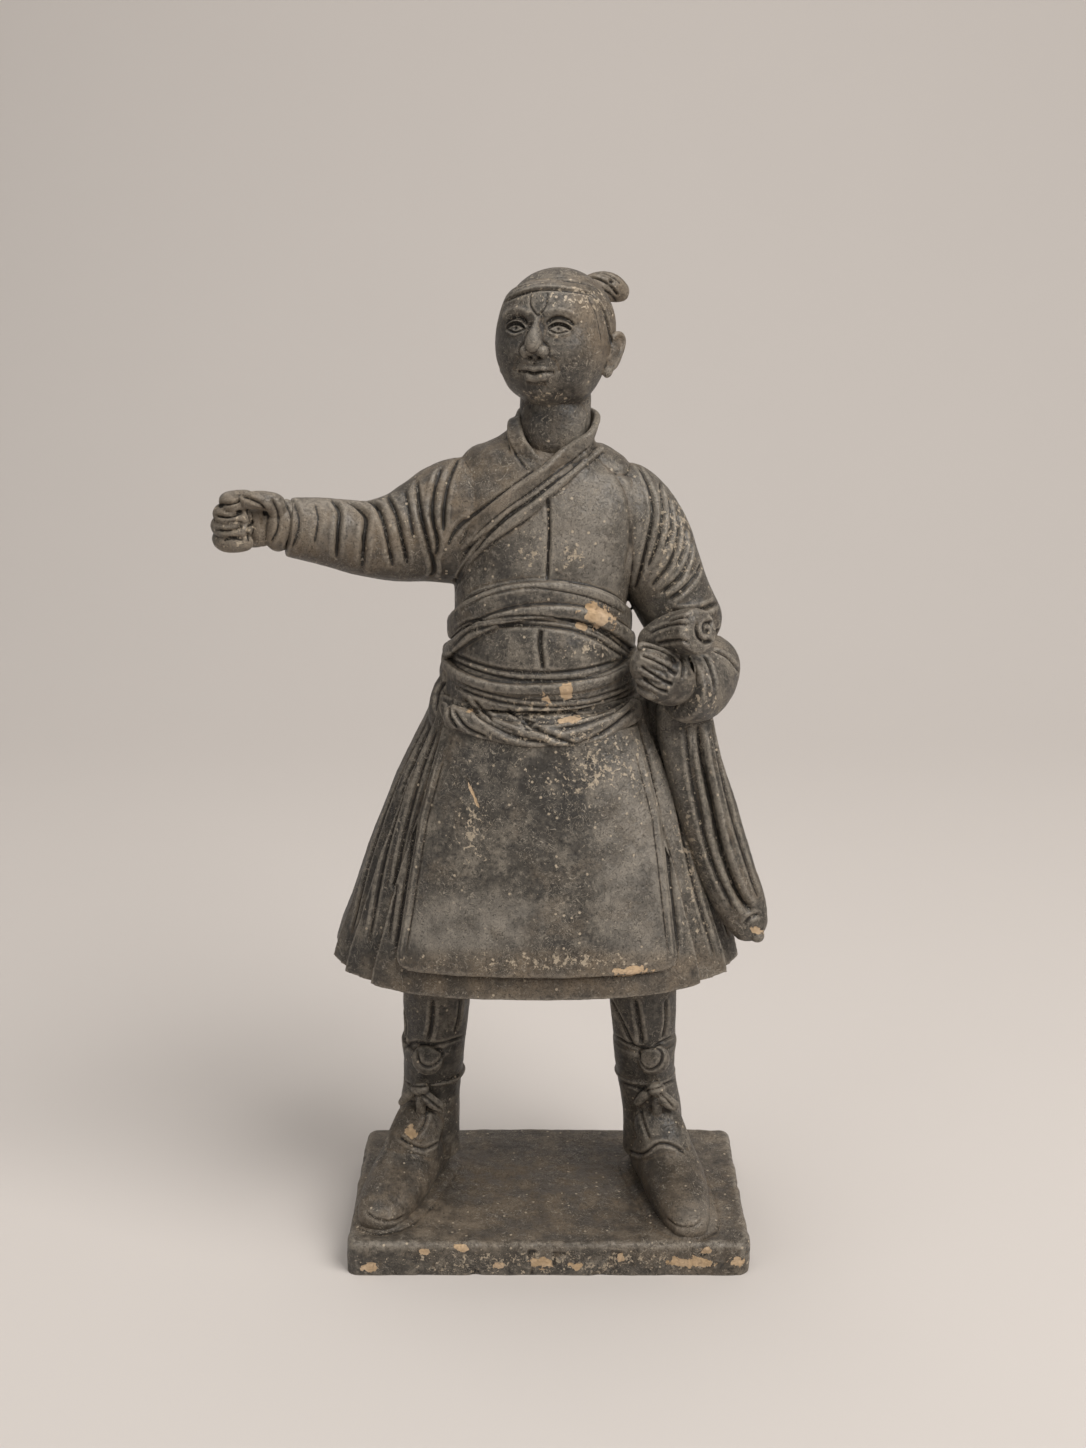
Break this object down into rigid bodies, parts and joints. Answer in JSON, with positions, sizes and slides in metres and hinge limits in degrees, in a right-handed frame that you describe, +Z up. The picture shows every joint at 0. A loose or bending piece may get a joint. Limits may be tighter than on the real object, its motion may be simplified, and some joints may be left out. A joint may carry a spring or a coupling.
{
  "type": "terracotta attendant figure",
  "caption": "Fired clay standing attendant in a wrapped jacket and pleated skirt, one fist held out to the side and a rolled cloth under the other arm, on a flat slab.",
  "frame": {"origin": "middle of the flat underside of the slab", "axes": "+Z up, the figure faces -Y, and its held-out right arm points along -X"},
  "size_m": [0.218, 0.1083, 0.3989],
  "materials": {
    "fired_clay": "matte"
  },
  "bodies": {
    "root": {"attendant_figure": "fired_clay"}
  },
  "joints": []
}
